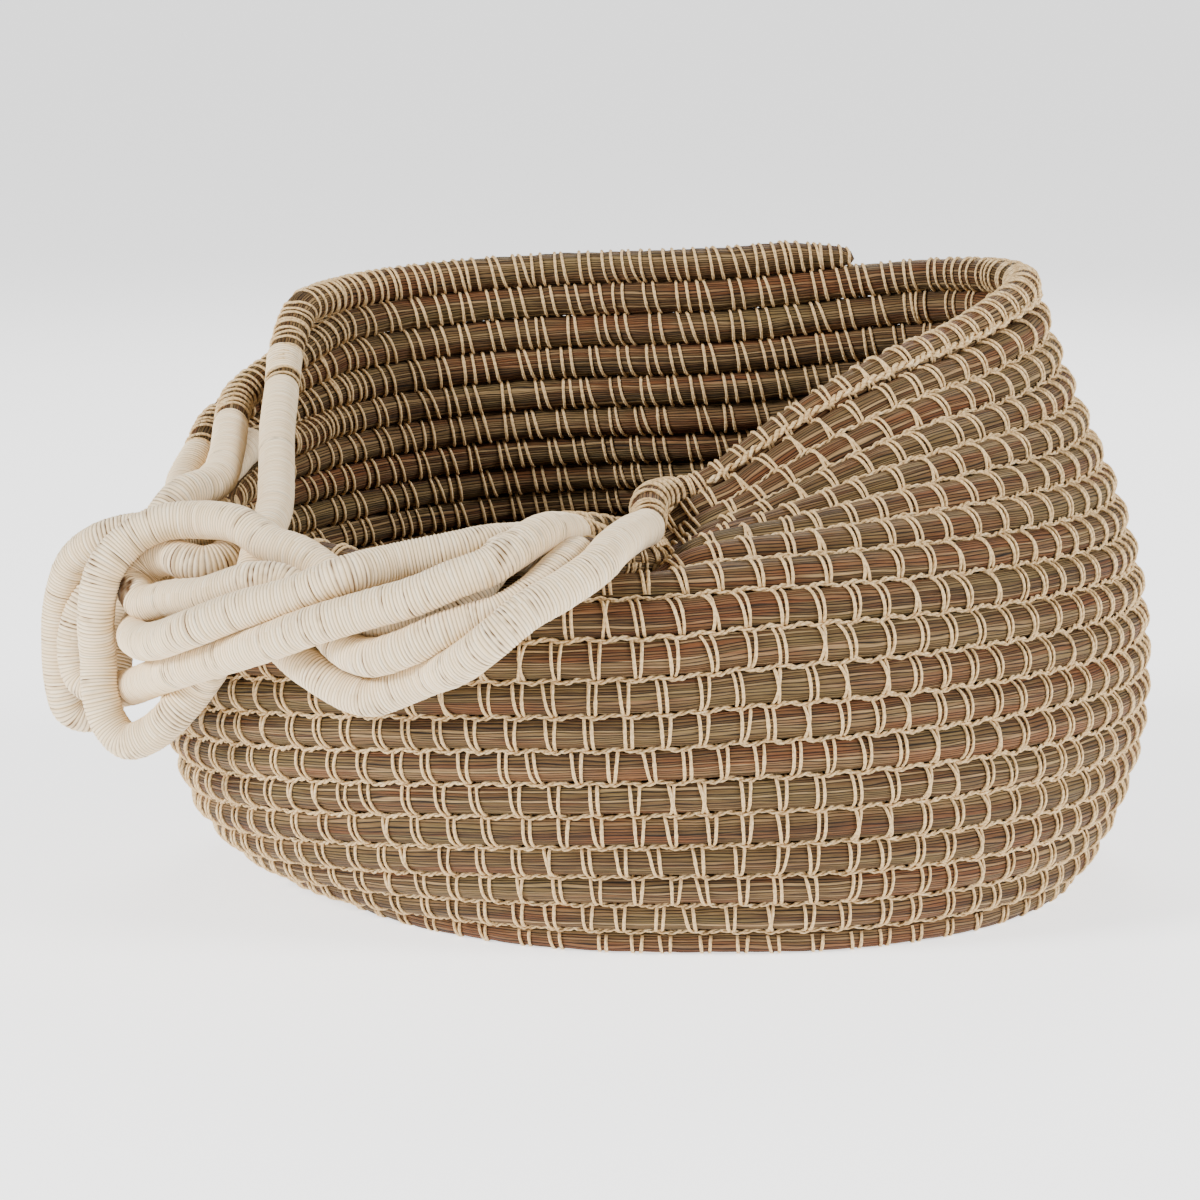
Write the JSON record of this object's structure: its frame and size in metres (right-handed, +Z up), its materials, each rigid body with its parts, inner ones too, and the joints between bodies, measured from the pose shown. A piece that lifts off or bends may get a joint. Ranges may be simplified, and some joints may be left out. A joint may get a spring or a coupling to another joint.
{
  "type": "coiled basket",
  "caption": "Round coiled seagrass basket sewn with cotton twine, its upper turns leaving the wall as cotton-wrapped strands laced into a loose knot at one side.",
  "frame": {"origin": "on the ground, under the middle of the basket's outline, knot included", "axes": "+X to the basket's right, away from the knot; +Y to the back, where the wall is highest; +Z up"},
  "size_m": [0.5035, 0.4303, 0.2832],
  "materials": {
    "seagrass": "dry twisted grass, matt, mottled olive, tan and brown",
    "cotton_wrap": "tightly wound off-white cotton cord, matt",
    "sewing_twine": "twisted off-white cotton twine, matt"
  },
  "bodies": {
    "root": {"floor_coil": "seagrass", "wall_course_01": "seagrass", "wall_course_02": "seagrass", "wall_course_03": "seagrass", "wall_course_04": "seagrass", "wall_course_05": "seagrass", "wall_course_06": "seagrass", "wall_course_07": "seagrass", "wall_course_08": "seagrass", "wall_course_09": "seagrass", "wall_course_10": "seagrass", "wall_course_11": "seagrass", "wall_course_12": "seagrass", "wall_course_13": "seagrass", "wall_course_14": "seagrass", "shoulder_course_15": "seagrass", "shoulder_course_16": "seagrass", "shoulder_course_17": "seagrass", "shoulder_course_18": "seagrass", "rim_course_19": "seagrass", "rim_tail": "seagrass", "wrapped_strand_1": "cotton_wrap", "wrapped_strand_2": "cotton_wrap", "wrapped_strand_3": "cotton_wrap", "wrapped_strand_4": "cotton_wrap", "wrapped_strand_5": "cotton_wrap", "tail_binding": "cotton_wrap", "wall_seam_twine": "sewing_twine", "seam_twine_15_16": "sewing_twine", "seam_twine_16_17": "sewing_twine", "seam_twine_17_18": "sewing_twine", "seam_twine_18_19": "sewing_twine", "seam_twine_19_20": "sewing_twine"}
  },
  "joints": []
}
